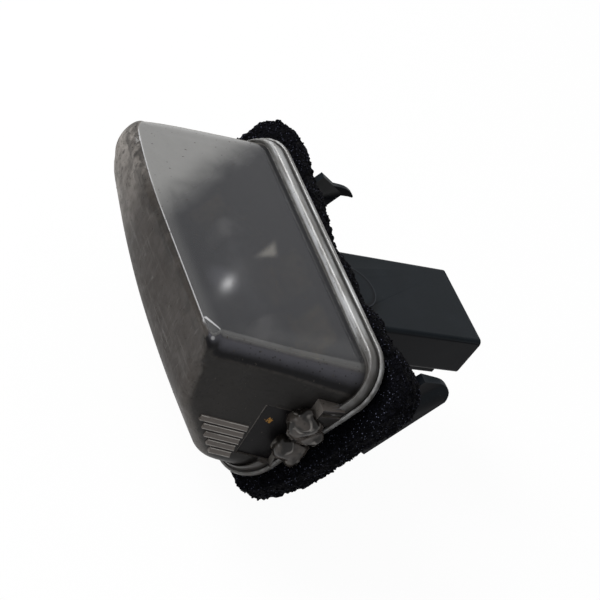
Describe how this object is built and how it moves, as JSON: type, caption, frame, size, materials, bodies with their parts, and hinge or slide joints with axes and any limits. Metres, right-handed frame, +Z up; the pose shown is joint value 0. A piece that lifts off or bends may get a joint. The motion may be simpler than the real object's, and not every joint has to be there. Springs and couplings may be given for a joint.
{
  "type": "number plate lamp",
  "caption": "Clip-in number plate lamp: a wedge-shaped clear lens on a black housing with a foam seal, snap hooks, a plug socket behind and a festoon bulb on spring contacts.",
  "frame": {"origin": "centre of the foam seal's rear face, the plane that the lamp seats on", "axes": "+Y rearwards along the plug socket, +Z up on the tilted lamp (towards the smooth window face), +X along the lamp to its ribbed end; the seating face is turned 26 degrees about X from +Y"},
  "size_m": [0.0735, 0.0727, 0.0349],
  "materials": {
    "smoked_clear_plastic": "dull, scratched and dirty clear plastic",
    "black_plastic": "satin moulded",
    "foam": "open-cell foam with grey grit",
    "bulb_glass": "clear glass",
    "bulb_metal": "dull plated",
    "filament_wire": "drawn wire",
    "solder": "dull tin",
    "spring_brass": "rolled strip",
    "rivet_metal": "plated",
    "dry_glue": "dried clear glue with dirt in it"
  },
  "bodies": {
    "root": {"lens": "smoked_clear_plastic", "housing": "black_plastic", "foam_seal": "foam", "bulb_glass": "bulb_glass", "bulb_cap_left": "bulb_metal", "bulb_cap_right": "bulb_metal", "bulb_filament": "filament_wire", "bulb_lead_left": "filament_wire", "bulb_lead_right": "filament_wire", "bulb_solder_left": "solder", "bulb_solder_right": "solder", "contact_spring_left": "spring_brass", "contact_spring_right": "spring_brass", "terminal_strip_left": "spring_brass", "terminal_strip_right": "spring_brass", "rivet_left": "rivet_metal", "rivet_right": "rivet_metal", "glue_lump_upper": "dry_glue", "glue_lump_lower": "dry_glue"}
  },
  "joints": []
}
